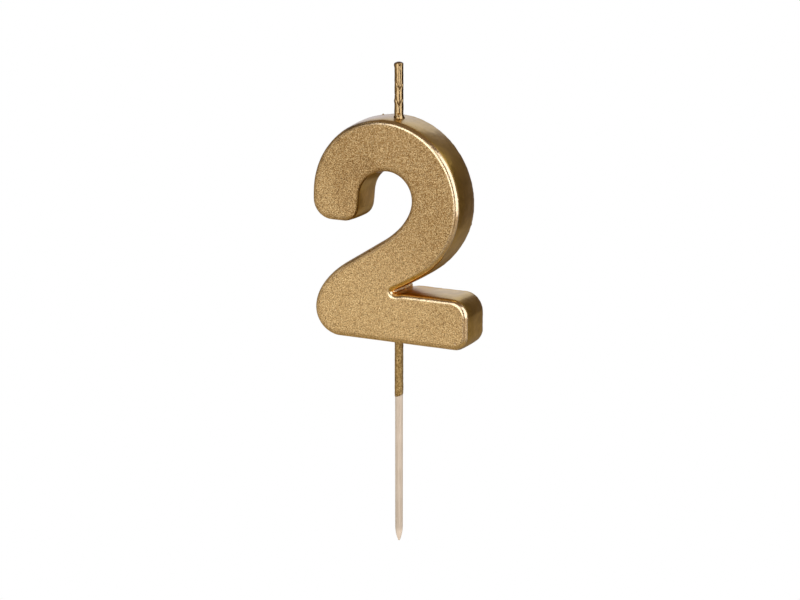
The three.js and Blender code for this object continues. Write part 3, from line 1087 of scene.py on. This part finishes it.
def zones_of_numeral(tree, place):
    """Masks of the dip's zones, each under its name."""
    depth = put(tree, "ShaderNodeSeparateXYZ", {"Vector": place}).outputs["Y"]
    facing = tree.nodes.new("ShaderNodeNewGeometry").outputs["Normal"]

    def behind(low, high):
        """A step from 0 to 1 between two depths behind the face, in millimetres."""
        return ramp(tree, depth, front_y + low * mm, front_y + high * mm)

    away = towards(tree, facing, left_and_down)
    lower_left = all_of(tree, ramp(tree, away, 0.03, 0.15), behind(1.5, 1.2))
    at_short_end = ramp(tree, apart(tree, place, short_end), 10 * mm, 8 * mm)
    around = any_of(tree, lower_left, all_of(tree, at_short_end, behind(0.65, 0.45)))
    # The short end's wall, along which a ragged dark line of shade is painted.
    end_wall = all_of(tree, at_short_end, ramp(tree, away, -0.1, -0.4))
    other_edges = maths(tree, "SUBTRACT", 1.0, at_short_end)
    at_any_depth = vector_maths(tree, "MULTIPLY", place, (1.0, 0.0, 1.0))
    near = apart(tree, at_any_depth, crevice_root)
    overhang = ramp(tree, towards(tree, facing, (0.0, 0.0, -1.0)), 0.02, 0.25)
    # Where amber shade is painted: undersides near the crevice, and the walls behind its front edge.
    over_crevice = all_of(tree, ramp(tree, near, 14 * mm, 5 * mm), overhang)
    in_crevice = all_of(tree, ramp(tree, near, 9 * mm, 4 * mm), behind(0.8, 1.6))
    back = ramp(tree, depth, back_y - 0.25 * mm, back_y - 0.05 * mm)
    return {
        "face": any_of(tree, behind(0.022, 0.004), around),
        "sand": any_of(tree, behind(1.0, 0.05), around, back),
        # The rounded edge: its paler gold is a painted highlight tint, and its gloss is highest.
        "highlight_edge": all_of(tree, behind(1.2, 0.8), other_edges),
        # A ragged dark line of painted shade along the bowl's short end.
        "dark_line_shade": all_of(tree, end_wall, behind(0.45, 0.65), behind(1.35, 0.95)),
        # Painted amber shade, with warm interreflection, round the crevice.
        "crevice_shade": any_of(tree, over_crevice, in_crevice),
        "back": back,
        # Painted shade: the face is darker towards its top.
        "shaded_higher_up": ramp(tree, towards(tree, place, foot_to_bowl), 0, 47 * mm),
    }


print("middle of the short end, mm:", [round(side / mm, 1) for side in short_end])

# %% [markdown]
# ## Gilt wax
# All of the numeral is metal under a thin clear coat, which whitens the reflections at a glancing
# angle. One gold for all of it would look like plastic foil. So its colour is laid on as a painter
# would do it: first the walls, slightly clouded, then a paler gold on the edge that whitens its
# highlights, painted amber shade round the crevice, the face with a painted fade from a lit gold at
# its foot to a shaded one at its top, and the back, and last painted shade in the sand's hollows,
# painted glints on its flakes and a painted dark line of shade on the bowl's short end.

# %% Colour of the gilt wax
gold = (0.72, 0.457, 0.112)
gold_dark = (0.60, 0.373, 0.080)
# A paler gold for the rounded edge, which whitens its highlights: a painted highlight tint.
pale_highlight_gold = (0.62, 0.465, 0.30)
# The face's two golds: lit at its foot and shaded at its top, a painted fade of light and shade.
face_lit_gold_low = (0.573, 0.382, 0.172)
face_shaded_gold_high = (0.345, 0.199, 0.068)
# Amber of painted shade and warm interreflection round the crevice.
crevice_shade_gold = (0.64, 0.35, 0.03)
gold_back = (0.80, 0.56, 0.25)
# Dark gold of painted shade, in the sand's hollows and along the short end, and pale gold of painted
# glints on the flakes.
painted_shade_gold = (0.11, 0.060, 0.018)
painted_glint_gold = (1.0, 0.78, 0.42)


def colour_of_numeral(tree, place, zones, grain, fine):
    """The dip's colour, laid on zone by zone."""
    stained = grouped(tree, ripple_group, place, 3.2 * mm)["Height"]
    colour = blended(tree, ramp(tree, stained, 0.36, 0.64), gold_dark, gold)
    # A paler gold on the edge whitens its highlights: a painted highlight tint.
    colour = blended(tree, zones["highlight_edge"], colour, pale_highlight_gold)
    # Painted amber shade round the crevice and under the diagonal.
    colour = blended(tree, zones["crevice_shade"], colour, crevice_shade_gold)
    # The face is painted from a lit gold at its foot to a shaded one at its top.
    painted_face_fade = blended(tree, zones["shaded_higher_up"], face_lit_gold_low, face_shaded_gold_high)
    colour = blended(tree, zones["face"], colour, painted_face_fade)
    colour = blended(tree, zones["back"], colour, gold_back)
    # Painted shade in the sand's hollows.
    colour = blended(tree, all_of(tree, grain["Hollow shade"], zones["sand"]), colour, painted_shade_gold)
    # Painted glints on the flakes, fewer towards the shaded top.
    glints_fade_up = ramp(tree, zones["shaded_higher_up"], 0.0, 1.0, 0.8, 0.62)
    flake_glints = all_of(tree, grain["Flake glints"], zones["sand"], glints_fade_up)
    colour = blended(tree, flake_glints, colour, painted_glint_gold)
    # A ragged dark line of painted shade along the bowl's short end.
    ragged = ramp(tree, fine, 0.35, 0.50, 0.3, 0.9)
    return blended(tree, all_of(tree, zones["dark_line_shade"], ragged), colour, painted_shade_gold)


print("golds of the face, from its foot to its top:", face_lit_gold_low, face_shaded_gold_high)

# %% [markdown]
# Gloss and relief follow the same zones. Where there is sand, the dip is rougher, and the rounded
# edge is the smoothest. Three bumps lie on each other: the soft ripple of the walls, a fine one, and
# the sand, which stands highest on the face and the back.

# %% Gilt wax
def gilt_wax():
    """The numeral's dip: sandy where it dried slowly, and smooth where it ran off."""
    material, tree, shader, place = new_material("gilt_wax")
    zones = zones_of_numeral(tree, place)
    grain = grouped(tree, grain_group, place, 0.20 * mm)
    soft = grouped(tree, ripple_group, place, 2.5 * mm)["Height"]
    fine = grouped(tree, ripple_group, place, 0.25 * mm)["Height"]
    matt = any_of(tree, zones["face"], zones["back"])
    smooth = ramp(tree, zones["highlight_edge"], 0.0, 1.0, 0.34, 0.21)
    sand_share = maths(tree, "ADD", maths(tree, "MULTIPLY", matt, 0.85), 0.15)
    sand = all_of(tree, grain["Height"], sand_share, zones["sand"])
    normal = bumped(tree, soft, 0.10 * mm)
    normal = bumped(tree, fine, 0.012 * mm, normal)
    normal = bumped(tree, sand, 0.12 * mm, normal)
    fill(tree, shader, {
        "Base Color": colour_of_numeral(tree, place, zones, grain, fine),
        "Roughness": maths(tree, "ADD", smooth, maths(tree, "MULTIPLY", matt, 0.35)),
        "Metallic": ramp(tree, zones["back"], 0.0, 1.0, 1.0, 0.75),
        "Normal": normal,
        "Coat Weight": 0.09,
        "Coat Roughness": 0.25,
    })
    return material


gilt_wax_paint = gilt_wax()
gilt_skin.data.materials.append(gilt_wax_paint)
print(gilt_wax_paint.name, "has", len(gilt_wax_paint.node_tree.nodes), "nodes")

# %% [markdown]
# ## Gilt of the bead
# In the crevice the dip pooled into a lumpy bead. It is the same gold, but thicker and lumpy, and
# less like metal, since lacquer lies over the flakes. Its paint is paler, as a painted highlight: the
# numeral's own paint would make it as dark as the crevice, so it has a paler one without sand.

# %% Gilt of the bead
# Both golds are paler than the numeral's: a painted highlight along the crevice's root.
bead_highlight_gold = (0.92, 0.60, 0.27)
bead_highlight_gold_pale = (1.0, 0.82, 0.52)


def gilt_bead():
    """Pooled lacquer: the same gold, thicker and less smooth, painted paler as a highlight."""
    material, tree, shader, place = new_material("gilt_bead")
    soft = grouped(tree, ripple_group, place, 0.6 * mm)["Height"]
    fill(tree, shader, {
        "Base Color": blended(tree, ramp(tree, soft, 0.35, 0.65), bead_highlight_gold, bead_highlight_gold_pale),
        "Normal": bumped(tree, soft, 0.06 * mm),
        "Metallic": 0.6,
        "Roughness": 0.24,
    })
    return material


bead.data.materials.append(gilt_bead())
print("bead:", bead.data.materials[0].name)

# %% [markdown]
# ## The gilt of the wick and of the pick
# On the wick the gold is a smooth lacquer, almost a mirror, so it shows the two softboxes as two
# bright stripes. On the pick it soaked into the wood, and is darker, greener and grainy. One paint
# with masks would do for both, but two short ones are easier to tune.

# %% Gilt of wick and pick
lacquer_low, lacquer_high = (0.165, 0.098, 0.034), (0.47, 0.33, 0.165)
# The pick's grain gets painted shade in its hollows and painted glints on its flakes.
pick_gold, pick_shade_gold = (0.34, 0.215, 0.075), (0.085, 0.045, 0.012)
pick_glint_gold = (0.60, 0.42, 0.18)


def gilt_lacquer():
    """The dip on the wick: a dark, smooth lacquer that mirrors the lights."""
    material, tree, shader, place = new_material("gilt_lacquer")
    soft = grouped(tree, ripple_group, place, 0.5 * mm)["Height"]
    fill(tree, shader, {
        "Base Color": blended(tree, soft, lacquer_low, lacquer_high),
        "Normal": bumped(tree, soft, 0.03 * mm),
        "Metallic": 1.0,
        "Roughness": 0.17,
    })
    return material


def gilt_pick():
    """The dip on the pick: dull gold with a coarse grain."""
    material, tree, shader, place = new_material("gilt_pick")
    grain = grouped(tree, grain_group, place, 0.34 * mm)
    # Painted shade in the grain's hollows and painted glints on its flakes.
    colour = blended(tree, grain["Hollow shade"], pick_gold, pick_shade_gold)
    flake_glints = maths(tree, "MULTIPLY", grain["Flake glints"], 0.85)
    fill(tree, shader, {
        "Base Color": blended(tree, flake_glints, colour, pick_glint_gold),
        "Normal": bumped(tree, grain["Height"], 0.16 * mm),
        "Metallic": 0.9,
        "Roughness": 0.42,
    })
    return material


wick.data.materials.append(gilt_lacquer())
pick_coat.data.materials.append(gilt_pick())
print("wick and pick:", wick.data.materials[0].name, pick_coat.data.materials[0].name)

# %% [markdown]
# ## Wood
# The pick is pale birch, whose fibres show as faint stripes along it. Blender has a ready ring
# pattern for wood, but a thin stick shows fibres and no rings, so a plain noise is stretched along Z.
# The point is painted lighter, and faint clouds break up the rest.

# %% Wood
birch_dark, birch_light = (0.45, 0.35, 0.245), (0.60, 0.485, 0.36)
birch_point, birch_cloud = (0.80, 0.63, 0.46), (0.66, 0.55, 0.42)
fibre_waves = (2600, 2600, 60)  # waves of the noise per metre, across and along the pick


def birch():
    """Pale wood with fibres along Z, and lighter towards the point."""
    material, tree, shader, place = new_material("pick_wood")
    stretched = put(tree, "ShaderNodeMapping", {"Vector": place, "Scale": fibre_waves}).outputs[0]
    fibres = clouds(tree, stretched, detail=3.0, roughness=0.6)
    pale = grouped(tree, ripple_group, place, 5 * mm)["Height"]
    height = put(tree, "ShaderNodeSeparateXYZ", {"Vector": place}).outputs["Z"]
    point_top = pick_low.z + point_length
    # Lighter towards the point.
    point_share = ramp(tree, height, point_top, point_top - 0.4 * point_length, 0, 0.65)
    colour = blended(tree, ramp(tree, fibres, 0.3, 0.7), birch_dark, birch_light)
    colour = blended(tree, point_share, colour, birch_point)
    fill(tree, shader, {
        "Base Color": blended(tree, ramp(tree, pale, 0.4, 0.7, 0, 0.25), colour, birch_cloud),
        "Roughness": ramp(tree, fibres, 0.0, 1.0, 0.55, 0.75),
        "Normal": bumped(tree, fibres, 0.02 * mm),
    })
    return material


pick.data.materials.append(birch())
print("pick:", pick.data.materials[0].name)

# %% [markdown]
# ## Wax and cotton
# The cast wax and the cotton lie inside, under the gold. They could be left out, but whoever takes
# the candle apart should find them. So they are the solids themselves, with finishes of their own:
# pale wax lets some light in under its surface, and the cord has slanting strands.

# %% Wax and cotton
wax_dark, wax_light = (0.86, 0.79, 0.62), (0.93, 0.89, 0.77)
cotton_dark, cotton_light = (0.72, 0.68, 0.58), (0.90, 0.87, 0.80)


def cast_wax():
    """Pale ivory wax, slightly clouded."""
    material, tree, shader, place = new_material("candle_wax")
    cloudy = grouped(tree, ripple_group, place, 6 * mm)["Height"]
    fill(tree, shader, {
        "Base Color": blended(tree, cloudy, wax_dark, wax_light),
        "Normal": bumped(tree, cloudy, 0.05 * mm),
        "Roughness": 0.5,
        "Subsurface Weight": 0.3,
        "Subsurface Scale": 2 * mm,
    })
    return material


def cotton():
    """The twisted strands of the cord."""
    material, tree, shader, place = new_material("cotton_cord")
    leaning = put(tree, "ShaderNodeMapping", {"Vector": place, "Rotation": (0.0, 0.6, 0.0)})
    sockets = {"Vector": leaning.outputs[0], "Scale": 700.0, "Distortion": 1.5, "Detail": 2.0}
    strands = put(tree, "ShaderNodeTexWave", sockets).outputs["Fac"]
    fill(tree, shader, {
        "Base Color": blended(tree, strands, cotton_dark, cotton_light),
        "Normal": bumped(tree, strands, 0.08 * mm),
        "Roughness": 0.9,
    })
    return material


# %% [markdown]
# ## Paint for the solids
# The solids that a dressed piece stands for are not seen, but every solid gets a finish all the same:
# wax and cotton their own, and the rest the gilt of the numeral.

# %% Paint for the solids
inner_paints = {"numeral_core": cast_wax(), "wick_cord": cotton()}
for name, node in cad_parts.items():
    node.data.materials.clear()
    node.data.materials.append(inner_paints.get(name, gilt_wax_paint))
print(f"{len(bpy.data.materials)} materials")
